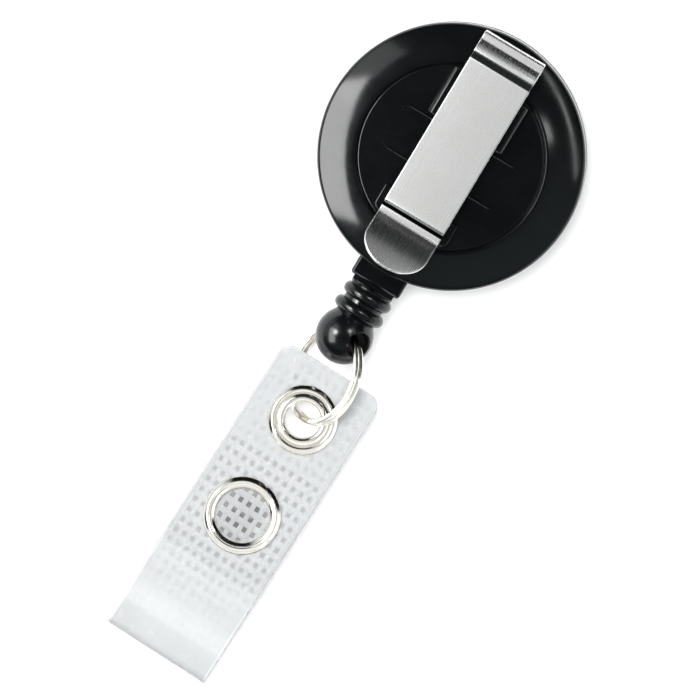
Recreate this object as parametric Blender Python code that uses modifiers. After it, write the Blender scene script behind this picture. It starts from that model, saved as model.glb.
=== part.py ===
"""Retractable badge reel with a belt clip, a split ring and a snap strap.

The reel lies on its flat front face, with the belt clip up. The origin is the
centre of that face, on the spool's axis. +Z points out of the back, and the
cord pulls towards -Y. Lengths below are in millimetres, and MM turns them
into metres. Each moving group hangs from an empty on its joint's axis.
"""

import math

import bmesh
import bpy
from mathutils import Matrix, Vector

MM = 0.001
GAP = 0.3          # between pieces that touch
THIN_GAP = 0.1     # between pieces that are pressed together

# Case
CASE_R = 16.0
WALL = 1.2
PULL_Z = 5.6                     # height of the cord's axis
PART_LOW = PULL_Z - GAP / 2      # front shell's rim
PART_HIGH = PULL_Z + GAP / 2     # rear shell's rim
EDGE_R = 2.4                     # rounded front edge
DISC_R = 11.3                    # flat recessed disc in the back
DISC_Z = 9.4
DOME_R = 11.45                   # where the domed ring starts
DOME_Z = 9.7
DOME_ARC_R = 7.85                # the ring's gentle curve
DOME_SLOPE = 35.0                # its slope where the rounded edge starts, in degrees
DOME_RUN = 4.9                   # from where it would be level to the wall
LIP_IN = 14.2                    # locating lip of the front shell
LIP_OUT = 14.7
LIP_TOP = 6.4
REAR_BORE = 15.0
CEILING_Z = DISC_Z - WALL
REAR_CORNER_Z = 7.0              # inside of the rear shell, from its bore to the ceiling
REAR_SLANT_Z = 7.5
BOSS_R = 2.9                     # ring in the rear shell round the post's top
BOSS_BORE = 1.9
BOSS_END = 7.65
CEILING_R = 10.9
CASE_STEPS = 60

# Outlet block and cord
BLOCK_HALF_W = 3.3
BLOCK_END = 18.3
BLOCK_ROOT = 15.1
BLOCK_HALF_H = 2.05
CORD_R = 0.35
CORD_BORE = 0.75
LEAD_START = 14.0

# Spool, spring and winding
POST_R = 1.6
POST_TOP = 7.95
POST_CHAMFER = 0.3
POST_SLOT_HALF = 0.45
SHOULDER_R = 3.0
SHOULDER_TOP = 3.4
BORE_R = 1.85
FLANGE_R = 13.6
FLANGE_T = 0.8
GROOVE_HALF = 1.1
DRUM_IN = 8.3
DRUM_OUT = 9.5
LID_SEAT_R = 9.0
LID_SEAT_DEPTH = 0.6
WINDING_IN = 9.7
WINDING_OUT = 13.2
WINDING_SLACK = 0.2
SPRING_TURNS = 8
SPRING_IN = 2.4
SPRING_OUT = 7.9
SPRING_T = 0.15
SPRING_TAB = (0.9, 1.5)          # inner tab in the post's slot, from and to this radius
SPRING_LOW = PULL_Z - GROOVE_HALF + GAP
SPRING_HIGH = 6.6

# Belt clip
CLIP_T = 0.5
CLIP_HALF_W = 4.1
BASE_HALF_W = 3.5
BASE_Z = 10.05
BASE_END = -8.9
BASE_WIDENS = (10.6, 12.2)       # from the base's width to the fold's
FOLD_Y = 15.05
FOLD_BEND = 0.45
CLIP_HINGE_Z = 11.05
LEDGE_Z = 12.35
LEDGE_BEND = 0.3
LEDGE_END = 14.15
RIDGE_Y = (13.95, 11.65)
RIDGE_RISE = 0.8
RIDGE_SPAN = 2.8
PLATE_Y = (11.5, -8.2)
PLATE_Z = 12.25
STEP_Y = (-8.45, -8.9)
VALLEY_Y = (-9.15, -9.6)
VALLEY_Z = 10.75
TONGUE_START = -9.9
TONGUE_END = -14.95
TONGUE_ROUND = 2.9
TONGUE_Z = 14.4

# Keepers on the back that hold the clip's base
KEEPER_Y = (3.4, 9.7)
KEEPER_HALF_W = 5.25
KEEPER_TOP = 11.1
SLOT_HALF_W = 3.8
SLOT_TOP = 10.6
POCKET_Y = (-9.7, -6.5)
POCKET_HALF_W = 5.0
POCKET_TOP = 10.15
PEG_Y = -3.0
PEG_R = 0.8
RIB_Y = 2.84
RIB_HALF_L = 7.1
RIB_W = 0.3
RIB_TOP = 9.65

# End fitting: ribbed sleeve and ball, measured along the pull from the axis
FIT_START = 18.6
NECK_R = 2.4
RIB_A = (19.65, 0.8, 3.15)       # centre, half width, radius
RIB_B = (21.6, 0.85, 3.25)
BALL_S = 25.0
BALL_R = 3.5
HOLE_R = 1.5
HOLE_TILT = math.radians(41)     # hole's axis from +Z towards +X
KNOT_R = 0.7
KNOT_S = 22.85
KNOT_BORE = 1.15
KNOT_SEAT = 22.0
KNOT_ROOM_END = 24.0

# Split ring, hung through the ball
RING_R = 5.85
RING_W = 1.3
RING_T = 0.75
RING_CHAMFER = 0.2
RING_IN_BALL = 0.5               # ring's wire beyond the ball's centre
RING_SWING = math.radians(6.4)   # ring's rest angle about the hole's axis

# Strap, in its own frame: origin at the ring's tip, +Y towards the reel
STRAP_YAW = math.radians(-1.6)
STRAP_T = 0.5
STRAP_HALF_W = 6.9
STRAP_TOP_Y = 6.76
STRAP_CORNER = 1.7
FRONT_Z = 4.9
FLAT_END_Y = -17.8
FOLD_LINE_Y = -33.0
FOLD_AXIS_Z = 1.25
FOLD_R = 0.65
FLAP_Z = 1.55
FLAP_FLAT_Y = -19.5
FLAP_END_Y = -6.4
FLAP_CORNER = 1.7
GROMMET_Y = -0.15
SNAP_Y = -13.75
EYELET_HOLE_R = 2.9
GROMMET_BORE = 2.15
GROMMET_R = 4.2
SNAP_R = 4.7
SNAP_BORE = 3.3
FACE = STRAP_T / 2 + THIN_GAP    # where a fitting rests, from the middle of the vinyl

# Outlines of the strap's turned fittings: (radius, height from the middle of the vinyl)
EYELET = [
    (2.9, FACE + 0.75), (3.3, FACE + 0.5), (3.75, FACE + 0.6), (GROMMET_R, FACE + 0.25),
    (GROMMET_R, FACE), (GROMMET_BORE + 0.45, FACE), (GROMMET_BORE + 0.45, -0.85), (3.2, -0.85),
    (3.2, -1.1), (2.9, -1.3), (GROMMET_BORE + 0.3, -1.3), (GROMMET_BORE, -1.0),
    (GROMMET_BORE, FACE + 0.45), (GROMMET_BORE + 0.3, FACE + 0.75),
]
WASHER = [
    (GROMMET_BORE + 0.6, -FACE), (GROMMET_R, -FACE), (GROMMET_R, -0.75),
    (GROMMET_BORE + 0.6, -0.75),
]
PRONG_RING = [
    (4.0, FACE + 0.95), (4.45, FACE + 0.75), (SNAP_R, FACE + 0.35), (SNAP_R, FACE),
    (SNAP_BORE, FACE), (SNAP_BORE, FACE + 0.6), (3.6, FACE + 0.9),
]
SOCKET = [
    (2.1, -FACE), (4.3, -FACE), (4.3, -0.8), (3.3, -1.2), (3.3, -2.0), (1.85, -2.0),
    (1.85, -1.6), (2.1, -1.4),
]
STUD = [
    (0.0, 2.65), (1.2, 2.65), (1.5, 2.35), (1.5, 1.95), (1.25, 1.6), (1.25, 1.05),
    (3.9, 0.95), (4.2, 0.65), (4.2, FACE), (0.0, FACE),
]

BLACK = ("black_plastic", (0.012, 0.013, 0.014), 0.18, 0.0)
SPOOL_GREY = ("spool_plastic", (0.55, 0.55, 0.53), 0.45, 0.0)
STEEL = ("clip_steel", (0.62, 0.62, 0.63), 0.3, 1.0)
SPRING_STEEL = ("spring_steel", (0.35, 0.36, 0.4), 0.3, 1.0)
NICKEL = ("bright_nickel", (0.78, 0.76, 0.72), 0.12, 1.0)
VINYL = ("clear_vinyl", (0.78, 0.82, 0.82), 0.3, 0.0)
CORD = ("black_cord", (0.02, 0.02, 0.02), 0.8, 0.0)


def clear_scene():
    for obj in list(bpy.data.objects):
        bpy.data.objects.remove(obj, do_unlink=True)


def new_collection(name):
    collection = bpy.data.collections.new(name)
    bpy.context.scene.collection.children.link(collection)
    return collection


def finish_of(finish, node):
    name, colour, roughness, metallic = finish
    material = bpy.data.materials.new(f"{name}_{node}")
    material.use_nodes = True
    shader = material.node_tree.nodes["Principled BSDF"]
    shader.inputs["Base Color"].default_value = (*colour, 1.0)
    shader.inputs["Roughness"].default_value = roughness
    shader.inputs["Metallic"].default_value = metallic
    return material


def add_object(name, mesh, finish, parent=None):
    """Puts a mesh in the scene as a named sub-part, in its parent's frame."""
    obj = bpy.data.objects.new(name, mesh)
    mesh.materials.append(finish_of(finish, name))
    PARTS.objects.link(obj)
    obj.parent = parent
    return obj


def add_cutter(name, mesh, parent=None):
    cutter = bpy.data.objects.new(name, mesh)
    CUTTERS.objects.link(cutter)
    cutter.parent = parent
    cutter.hide_render = True
    cutter.display_type = "WIRE"
    return cutter


def add_pivot(name, location, rotation=None, parent=None):
    """An empty on a joint's axis, for the pieces that move about it."""
    pivot = bpy.data.objects.new(name, None)
    PARTS.objects.link(pivot)
    pivot.parent = parent
    turn = rotation if rotation is not None else Matrix.Identity(4)
    pivot.matrix_local = Matrix.Translation(Vector(location) * MM) @ turn
    pivot.empty_display_size = 0.004
    return pivot


def box_mesh(name, low, high):
    """A box between two corners."""
    low = Vector(low) * MM
    high = Vector(high) * MM
    bm = bmesh.new()
    size = Matrix.Diagonal((*(high - low), 1.0))
    bmesh.ops.create_cube(bm, size=1.0, matrix=Matrix.Translation((low + high) / 2) @ size)
    mesh = bpy.data.meshes.new(name)
    bm.to_mesh(mesh)
    bm.free()
    return mesh


def rod_mesh(name, radius, start, end, segments=32):
    """A capped cylinder from one point to another."""
    start = Vector(start) * MM
    end = Vector(end) * MM
    turn = (end - start).to_track_quat("Z", "Y").to_matrix().to_4x4()
    bm = bmesh.new()
    bmesh.ops.create_cone(
        bm,
        cap_ends=True,
        segments=segments,
        radius1=radius * MM,
        radius2=radius * MM,
        depth=(end - start).length,
        matrix=Matrix.Translation((start + end) / 2) @ turn,
    )
    mesh = bpy.data.meshes.new(name)
    bm.to_mesh(mesh)
    bm.free()
    return mesh


def turned_mesh(name, profile):
    """The profile of a turned piece, as (radius, height) points down its outer side."""
    mesh = bpy.data.meshes.new(name)
    points = [(radius * MM, 0.0, height * MM) for radius, height in profile]
    edges = [(i, (i + 1) % len(points)) for i in range(len(points))]
    mesh.from_pydata(points, edges, [])
    return mesh


def turn(obj, steps=40):
    """Turns an object's profile about its own Z axis."""
    screw = obj.modifiers.new("turned", "SCREW")
    screw.steps = steps
    screw.render_steps = steps
    screw.use_merge_vertices = True
    screw.merge_threshold = 0.00002
    screw.use_smooth_shade = True
    return obj


def boolean(obj, other, operation):
    modifier = obj.modifiers.new(f"{operation.lower()}_{other.name}", "BOOLEAN")
    modifier.object = other
    modifier.operation = operation
    modifier.solver = "EXACT"


def arc(centre, radii, start, end, count):
    """Points on an ellipse arc, angles in degrees, from start to end."""
    points = []
    for i in range(count + 1):
        angle = math.radians(start + (end - start) * i / count)
        x = centre[0] + radii[0] * math.cos(angle)
        points.append((x, centre[1] + radii[1] * math.sin(angle)))
    return points


def strip_mesh(name, path, half_width):
    """An open ribbon along X: path is its (y, z) points, half_width(y) its half width."""
    bm = bmesh.new()
    rows = []
    for y, z in path:
        half = half_width(y)
        low = bm.verts.new(Vector((-half, y, z)) * MM)
        high = bm.verts.new(Vector((half, y, z)) * MM)
        rows.append((low, high))
    for (a, b), (c, d) in zip(rows, rows[1:]):
        bm.faces.new((a, b, d, c))
    mesh = bpy.data.meshes.new(name)
    bm.to_mesh(mesh)
    bm.free()
    return mesh


def thicken(obj, thickness):
    solid = obj.modifiers.new("thickness", "SOLIDIFY")
    solid.thickness = thickness * MM
    solid.offset = 0.0
    solid.use_even_offset = True
    return obj


def ease(t):
    """0 to 1 with level ends."""
    t = min(max(t, 0.0), 1.0)
    return 0.5 - 0.5 * math.cos(math.pi * t)


def spread(start, end, count):
    return [start + (end - start) * i / count for i in range(count + 1)]


# Case -----------------------------------------------------------------------


def front_shell():
    """Flat-faced cup with the spool's fixed post, a locating lip and half the outlet."""
    profile = [(CASE_R, PART_LOW)]
    profile += arc((CASE_R - EDGE_R, EDGE_R), (EDGE_R, EDGE_R), 0, -90, 5)
    profile += [(0.0, 0.0), (0.0, POST_TOP)]
    profile += [(POST_R - POST_CHAMFER, POST_TOP), (POST_R, POST_TOP - POST_CHAMFER)]
    profile += [(POST_R, SHOULDER_TOP), (SHOULDER_R, SHOULDER_TOP), (SHOULDER_R, WALL)]
    inner = LIP_IN - WALL
    profile += arc((inner, 2 * WALL), (WALL, WALL), -90, 0, 2)
    profile += [(LIP_IN, LIP_TOP), (LIP_OUT, LIP_TOP), (LIP_OUT, PART_LOW)]
    shell = add_object("front_shell", turned_mesh("front_shell", profile), BLACK)
    turn(shell, CASE_STEPS)

    low = (-BLOCK_HALF_W, -BLOCK_END, PULL_Z - BLOCK_HALF_H)
    high = (BLOCK_HALF_W, -BLOCK_ROOT, PART_LOW)
    block = add_cutter("front_block", box_mesh("front_block", low, high))
    boolean(shell, block, "UNION")
    slot_low = (-POST_SLOT_HALF, -POST_R - 1, SPRING_LOW - GAP)
    slot_high = (POST_SLOT_HALF, POST_R + 1, POST_TOP + 1)
    slot = add_cutter("post_slot", box_mesh("post_slot", slot_low, slot_high))
    boolean(shell, slot, "DIFFERENCE")
    return shell


def dome_profile():
    """Recessed disc, gently curved ring, rounded edge and straight wall, then the inside."""
    slope = math.radians(DOME_SLOPE)
    centre = (CASE_R - DOME_RUN, DOME_Z - DOME_ARC_R)
    first = 90 - math.degrees(math.asin((DOME_R - centre[0]) / DOME_ARC_R))
    ring = arc(centre, (DOME_ARC_R, DOME_ARC_R), first, 90 - DOME_SLOPE, 6)
    edge_r = (CASE_R - ring[-1][0]) / (1 - math.sin(slope))
    edge_z = ring[-1][1] - edge_r * math.cos(slope)
    edge = arc((CASE_R - edge_r, edge_z), (edge_r, edge_r), 90 - DOME_SLOPE, 0, 4)
    inner = [(REAR_BORE, REAR_CORNER_Z), (REAR_BORE - 0.6, REAR_SLANT_Z), (DOME_R, CEILING_Z - 0.1)]
    profile = [(0.0, DISC_Z), (DISC_R, DISC_Z)] + ring + edge[1:]
    profile += [(CASE_R, PART_HIGH), (REAR_BORE, PART_HIGH)] + inner
    boss = [(BOSS_R, CEILING_Z), (BOSS_R, BOSS_END), (BOSS_BORE, BOSS_END), (BOSS_BORE, CEILING_Z)]
    return profile + [(CEILING_R, CEILING_Z)] + boss + [(0.0, CEILING_Z)]


def rear_shell():
    """Domed back with a recessed disc, the clip's keepers, two ribs and half the outlet."""
    shell = add_object("rear_shell", turned_mesh("rear_shell", dome_profile()), BLACK)
    turn(shell, CASE_STEPS)

    root = DISC_Z - 0.3
    shapes = {
        "rear_block": ((-BLOCK_HALF_W, -BLOCK_END, PART_HIGH),
                       (BLOCK_HALF_W, -BLOCK_ROOT, PULL_Z + BLOCK_HALF_H)),
        "bridge": ((-KEEPER_HALF_W, KEEPER_Y[0], root), (KEEPER_HALF_W, KEEPER_Y[1], KEEPER_TOP)),
        "pocket": ((-POCKET_HALF_W, POCKET_Y[0], root), (POCKET_HALF_W, POCKET_Y[1], POCKET_TOP)),
        "rib_upper": ((-RIB_HALF_L, RIB_Y - RIB_W / 2, root), (RIB_HALF_L, RIB_Y + RIB_W / 2, RIB_TOP)),
        "rib_lower": ((-RIB_HALF_L, -RIB_Y - RIB_W / 2, root), (RIB_HALF_L, -RIB_Y + RIB_W / 2, RIB_TOP)),
    }
    for name, (low, high) in shapes.items():
        boolean(shell, add_cutter(name, box_mesh(name, low, high)), "UNION")
    peg = add_cutter("peg", rod_mesh("peg", PEG_R, (0, PEG_Y, root), (0, PEG_Y, BASE_Z), 16))
    boolean(shell, peg, "UNION")

    slots = {
        "bridge_slot": ((-SLOT_HALF_W, KEEPER_Y[0] - 1, DISC_Z), (SLOT_HALF_W, KEEPER_Y[1] + 1, SLOT_TOP)),
        "pocket_slot": ((-SLOT_HALF_W, BASE_END - GAP, DISC_Z),
                        (SLOT_HALF_W, POCKET_Y[1] + 1, POCKET_TOP + 1)),
    }
    for name, (low, high) in slots.items():
        boolean(shell, add_cutter(name, box_mesh(name, low, high)), "DIFFERENCE")
    return shell


def drill_outlet(shells):
    """The cord's hole, drilled through both halves of the outlet."""
    start = (0, -BLOCK_END - 1, PULL_Z)
    hole = add_cutter("outlet_hole", rod_mesh("outlet_hole", CORD_BORE, start, (0, -LIP_IN + 1, PULL_Z), 24))
    for shell in shells:
        boolean(shell, hole, "DIFFERENCE")


# Belt clip ------------------------------------------------------------------


def base_half_width(y):
    start, end = BASE_WIDENS
    return BASE_HALF_W + (CLIP_HALF_W - BASE_HALF_W) * ease((y - start) / (end - start))


def clip_base():
    """Flat leg held in the keepers, turned up at the fold."""
    path = [(y, BASE_Z) for y in [BASE_END, 0] + spread(*BASE_WIDENS, 4)]
    path += arc((FOLD_Y - FOLD_BEND, BASE_Z + FOLD_BEND), (FOLD_BEND, FOLD_BEND), -90, 0, 4)
    path += [(FOLD_Y, CLIP_HINGE_Z - GAP / 2)]
    base = add_object("clip_base", strip_mesh("clip_base", path, base_half_width), STEEL)
    thicken(base, CLIP_T)
    hole_ends = ((0, PEG_Y, BASE_Z - 1), (0, PEG_Y, BASE_Z + 1))
    hole = add_cutter("peg_hole", rod_mesh("peg_hole", PEG_R + GAP, *hole_ends, 24))
    boolean(base, hole, "DIFFERENCE")
    return base


def arm_half_width(y):
    past = (TONGUE_END + TONGUE_ROUND - y) / TONGUE_ROUND
    if past <= 0:
        return CLIP_HALF_W
    return max(CLIP_HALF_W * math.sqrt(max(1 - past * past, 0.0)), 0.8)


def arm_path():
    """Side view of the arm: wall, ledge, ridge, flat plate, valley and raised tongue."""
    path = [(FOLD_Y, CLIP_HINGE_Z + GAP / 2)]
    centre = (FOLD_Y - LEDGE_BEND, LEDGE_Z - LEDGE_BEND)
    path += arc(centre, (LEDGE_BEND, LEDGE_BEND), 0, 90, 3)
    path += [(LEDGE_END, LEDGE_Z)]
    ridge = spread(*RIDGE_Y, 9)
    middle = (RIDGE_SPAN - ridge[0] + ridge[-1]) / 2
    for y in ridge[:-1]:
        rise = math.sin(math.pi * (ridge[0] - y + middle) / RIDGE_SPAN)
        path.append((y, LEDGE_Z + RIDGE_RISE * max(rise, 0.0) ** 0.8))
    path += [(y, PLATE_Z) for y in spread(*PLATE_Y, 3)]
    step_start, step_end = STEP_Y
    path += [(step_start, PLATE_Z - 0.15), (step_end, VALLEY_Z + 0.2)]
    path += [(y, VALLEY_Z) for y in VALLEY_Y]
    for y in spread(TONGUE_START, TONGUE_END, 10):
        t = (TONGUE_START - y) / (TONGUE_START - TONGUE_END)
        path.append((y, VALLEY_Z + 0.1 + (TONGUE_Z - VALLEY_Z - 0.1) * t))
    return path


def clip_arm(pivot):
    """Sprung arm, from the fold's wall to the lifting tongue."""
    path = [(y - FOLD_Y, z - CLIP_HINGE_Z) for y, z in arm_path()]
    mesh = strip_mesh("clip_arm", path, lambda y: arm_half_width(y + FOLD_Y))
    return thicken(add_object("clip_arm", mesh, STEEL, pivot), CLIP_T)


# Reel mechanism -------------------------------------------------------------


def spool(pivot):
    """Drum for the cord with a bearing web, two flanges and the spring's cavity."""
    low = -GROOVE_HALF
    high = GROOVE_HALF
    top = high + FLANGE_T
    profile = [
        (LID_SEAT_R, top), (FLANGE_R, top), (FLANGE_R, high), (DRUM_OUT, high),
        (DRUM_OUT, low), (FLANGE_R, low), (FLANGE_R, low - FLANGE_T), (BORE_R, low - FLANGE_T),
        (BORE_R, low), (DRUM_IN, low), (DRUM_IN, top - LID_SEAT_DEPTH),
        (LID_SEAT_R, top - LID_SEAT_DEPTH),
    ]
    return turn(add_object("spool", turned_mesh("spool", profile), SPOOL_GREY, pivot), 48)


def spool_lid(pivot):
    """Disc that closes the spring's cavity."""
    top = GROOVE_HALF + FLANGE_T
    bottom = top - LID_SEAT_DEPTH + THIN_GAP
    outer = LID_SEAT_R - GAP
    profile = [(BORE_R + 0.1, top), (outer, top), (outer, bottom), (BORE_R + 0.1, bottom)]
    return turn(add_object("spool_lid", turned_mesh("spool_lid", profile), SPOOL_GREY, pivot))


def spring_points():
    """Flat spiral: a tab in the post's slot, the turns, and a short outer tail."""
    points = [(0.0, radius) for radius in SPRING_TAB]
    steps = SPRING_TURNS * 16
    for i in range(steps + 1):
        t = i / steps
        angle = math.pi / 2 + 2 * math.pi * SPRING_TURNS * t
        radius = SPRING_IN + (SPRING_OUT - SPRING_IN) * t
        points.append((radius * math.cos(angle), radius * math.sin(angle)))
    return points


def power_spring(pivot):
    """Clock-type spring that winds the cord back in."""
    bm = bmesh.new()
    low = (SPRING_LOW - PULL_Z) * MM
    rise = Vector((0, 0, (SPRING_HIGH - SPRING_LOW) * MM))
    verts = [bm.verts.new((x * MM, y * MM, low)) for x, y in spring_points()]
    edges = [bm.edges.new(pair) for pair in zip(verts, verts[1:])]
    wall = bmesh.ops.extrude_edge_only(bm, edges=edges)
    lifted = [item for item in wall["geom"] if isinstance(item, bmesh.types.BMVert)]
    bmesh.ops.translate(bm, verts=lifted, vec=rise)
    mesh = bpy.data.meshes.new("power_spring")
    bm.to_mesh(mesh)
    bm.free()
    return thicken(add_object("power_spring", mesh, SPRING_STEEL, pivot), SPRING_T)


def cord_winding(pivot):
    """Outer shape of the cord wound on the drum."""
    half = GROOVE_HALF - WINDING_SLACK
    profile = [(WINDING_IN, half), (WINDING_OUT, half), (WINDING_OUT, -half), (WINDING_IN, -half)]
    return turn(add_object("cord_winding", turned_mesh("cord_winding", profile), CORD, pivot))


# Cord's end, ball and ring --------------------------------------------------


def cord_lead(pivot):
    """Straight run of cord through the outlet and the sleeve."""
    mesh = rod_mesh("cord_lead", CORD_R, (0, -LEAD_START, 0), (0, -KNOT_SEAT + 0.1, 0), 12)
    return add_object("cord_lead", mesh, CORD, pivot)


def cord_knot(pivot):
    """Stopper knot inside the ball."""
    bm = bmesh.new()
    place = Matrix.Translation(Vector((0, -KNOT_S, 0)) * MM)
    bmesh.ops.create_uvsphere(bm, u_segments=16, v_segments=10, radius=KNOT_R * MM, matrix=place)
    mesh = bpy.data.meshes.new("cord_knot")
    bm.to_mesh(mesh)
    bm.free()
    return add_object("cord_knot", mesh, CORD, pivot)


def rib_arc(rib):
    """Round rib on the sleeve, from its ball side to its reel side."""
    centre, half_width, radius = rib
    return arc((NECK_R, centre), (radius - NECK_R, half_width), 90, -90, 6)


def end_ball(pivot):
    """Ribbed sleeve and ball in one moulding, turned about the cord's line."""
    ball_angle = math.degrees(math.acos(NECK_R / BALL_R))
    profile = arc((0.0, BALL_S), (BALL_R, BALL_R), 90, -ball_angle, 14)
    profile += rib_arc(RIB_B) + rib_arc(RIB_A)
    profile += [(NECK_R, FIT_START), (CORD_BORE, FIT_START), (CORD_BORE, KNOT_SEAT)]
    profile += [(KNOT_BORE, KNOT_SEAT), (KNOT_BORE, KNOT_ROOM_END), (0.0, KNOT_ROOM_END)]
    ball = add_object("end_ball", turned_mesh("end_ball", profile), BLACK, pivot)
    turn(ball, 32)
    ball.rotation_euler = (math.pi / 2, 0, 0)

    reach = Vector((math.sin(HOLE_TILT), 0, math.cos(HOLE_TILT))) * 5
    centre = Vector((0, -BALL_S, 0))
    hole = add_cutter("ball_hole", rod_mesh("ball_hole", HOLE_R, centre - reach, centre + reach), pivot)
    boolean(ball, hole, "DIFFERENCE")
    return ball


def split_ring(pivot):
    """Ring through the ball's hole: its plane holds the pivot's Y and Z axes."""
    half_w = RING_W / 2
    half_t = RING_T / 2
    section = [
        (RING_R + half_t - RING_CHAMFER, half_w), (RING_R + half_t, half_w - RING_CHAMFER),
        (RING_R + half_t, RING_CHAMFER - half_w), (RING_R + half_t - RING_CHAMFER, -half_w),
        (RING_R - half_t, -half_w), (RING_R - half_t, half_w),
    ]
    ring = add_object("split_ring", turned_mesh("split_ring", section), NICKEL, pivot)
    turn(ring, 48)
    ring.location = Vector((0, RING_IN_BALL - RING_R, 0)) * MM
    ring.rotation_euler = (0, math.pi / 2, 0)
    return ring


# Strap ----------------------------------------------------------------------


def corner_half_width(past_end, corner):
    """Half width of a strap end with rounded corners, past_end from its end."""
    if past_end >= corner:
        return STRAP_HALF_W
    inset = corner - math.sqrt(max(corner**2 - (corner - past_end) ** 2, 0.0))
    return STRAP_HALF_W - inset


def strap_front(pivot):
    """Front layer of the strap: flat under the hardware, then down to the fold."""
    corner = [STRAP_TOP_Y - STRAP_CORNER * (1 - math.cos(math.radians(a))) for a in range(0, 91, 15)]
    path = [(y, FRONT_Z) for y in corner + spread(4.0, FLAT_END_Y, 6)]
    low = FOLD_AXIS_Z + FOLD_R
    for y in spread(FLAT_END_Y, FOLD_LINE_Y + GAP / 2, 14)[1:]:
        t = (FLAT_END_Y - y) / (FLAT_END_Y - FOLD_LINE_Y)
        path.append((y, FRONT_Z + (low - FRONT_Z) * ease(t)))
    path = [(y, z - STRAP_Z) for y, z in path]
    mesh = strip_mesh("strap_front", path, lambda y: corner_half_width(STRAP_TOP_Y - y, STRAP_CORNER))
    strap = add_object("strap_front", mesh, VINYL, pivot)
    thicken(strap, STRAP_T)
    ends = ((0, GROMMET_Y, FRONT_Z - STRAP_Z - 1), (0, GROMMET_Y, FRONT_Z - STRAP_Z + 1))
    hole = add_cutter("eyelet_hole", rod_mesh("eyelet_hole", EYELET_HOLE_R, *ends), pivot)
    boolean(strap, hole, "DIFFERENCE")
    return strap


def strap_fold(pivot):
    """Half-round bend between the two layers, which opens with the flap."""
    ends = math.degrees(GAP / 2 / FOLD_R)
    bend = arc((FOLD_LINE_Y, FOLD_AXIS_Z - STRAP_Z), (FOLD_R, FOLD_R), 90 + ends, 270 - ends, 12)
    mesh = strip_mesh("strap_fold", bend, lambda y: STRAP_HALF_W)
    return thicken(add_object("strap_fold", mesh, VINYL, pivot), STRAP_T)


def strap_flap(pivot):
    """Back layer, from the fold up to the snap and a little past it."""
    low = FOLD_AXIS_Z - FOLD_R
    path = []
    for y in spread(FOLD_LINE_Y + GAP / 2, FLAP_FLAT_Y, 12):
        t = (y - FOLD_LINE_Y) / (FLAP_FLAT_Y - FOLD_LINE_Y)
        path.append((y, low + (FLAP_Z - low) * ease(t)))
    corner = [FLAP_END_Y - FLAP_CORNER * (1 - math.cos(math.radians(a))) for a in range(90, -1, -15)]
    path += [(y, FLAP_Z) for y in [-15.0, -10.0] + corner]
    path = [(y - FOLD_LINE_Y, z - FOLD_AXIS_Z) for y, z in path]
    end = FLAP_END_Y - FOLD_LINE_Y
    mesh = strip_mesh("strap_flap", path, lambda y: corner_half_width(end - y, FLAP_CORNER))
    return thicken(add_object("strap_flap", mesh, VINYL, pivot), STRAP_T)


def hardware(name, profile, pivot, y, z):
    """A turned metal fitting on the strap, its heights counted from z."""
    fitting = add_object(name, turned_mesh(name, profile), NICKEL, pivot)
    turn(fitting, 32)
    fitting.location = Vector((0, y, z)) * MM
    return fitting


def strap_fittings(strap_pivot, flap_pivot):
    """Eyelet with its washer, and the snap's two halves with their prong rings."""
    front = FRONT_Z - STRAP_Z
    flap = FLAP_Z - FOLD_AXIS_Z
    flap_snap = SNAP_Y - FOLD_LINE_Y
    hardware("grommet_face", EYELET, strap_pivot, GROMMET_Y, front)
    hardware("grommet_back", WASHER, strap_pivot, GROMMET_Y, front)
    hardware("snap_cap", PRONG_RING, strap_pivot, SNAP_Y, front)
    hardware("snap_socket", SOCKET, strap_pivot, SNAP_Y, front)
    hardware("snap_stud", STUD, flap_pivot, flap_snap, flap)
    back = hardware("snap_back", PRONG_RING, flap_pivot, flap_snap, flap)
    back.rotation_euler = (math.pi, 0, 0)


clear_scene()
PARTS = new_collection("badge_reel")
CUTTERS = new_collection("cutters")

# The ring's pivot sits in the ball: its Z runs along the hole, and the ring
# hangs along its -Y. The strap's pivot is the ring's tip.
hole_turn = Matrix.Rotation(HOLE_TILT, 4, "Y") @ Matrix.Rotation(RING_SWING, 4, "Z")
ring_tip = hole_turn @ Vector((0, RING_IN_BALL - 2 * RING_R, 0))
strap_origin = Vector((ring_tip.x, ring_tip.y - BALL_S, ring_tip.z + PULL_Z))
STRAP_Z = strap_origin.z

clip_hinge = add_pivot("clip_hinge", (0, FOLD_Y, CLIP_HINGE_Z))
spool_axis = add_pivot("spool_axis", (0, 0, PULL_Z))
pull_line = add_pivot("pull_line", (0, 0, PULL_Z))
ball_swivel = add_pivot("ball_swivel", (0, 0, 0), parent=pull_line)
ring_pivot = add_pivot("ring_pivot", (0, -BALL_S, 0), hole_turn, ball_swivel)
strap_turn = Matrix.Rotation(STRAP_YAW, 4, "Z")
strap_pivot = add_pivot("strap_pivot", strap_origin, strap_turn)
flap_hinge = add_pivot("flap_hinge", (0, FOLD_LINE_Y, FOLD_AXIS_Z - STRAP_Z), parent=strap_pivot)

drill_outlet([front_shell(), rear_shell()])
clip_base()
clip_arm(clip_hinge)
spool(spool_axis)
spool_lid(spool_axis)
power_spring(spool_axis)
cord_winding(spool_axis)
cord_lead(pull_line)
cord_knot(pull_line)
end_ball(ball_swivel)
split_ring(ring_pivot)
strap_front(strap_pivot)
strap_fold(strap_pivot)
strap_flap(flap_hinge)
strap_fittings(strap_pivot, flap_hinge)
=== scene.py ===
"""Looks of the retractable badge reel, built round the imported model.

Shapes are given in millimetres in the model's own frame and turned into metres
when their mesh is made. Names that end in _R, _T, _W, _Y and _Z are a radius, a
thickness, a half width and places along Y and Z, and _S is a length along a strip.
"""

import math

import bmesh
import bpy
import numpy as np
from mathutils import Matrix, Vector


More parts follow.
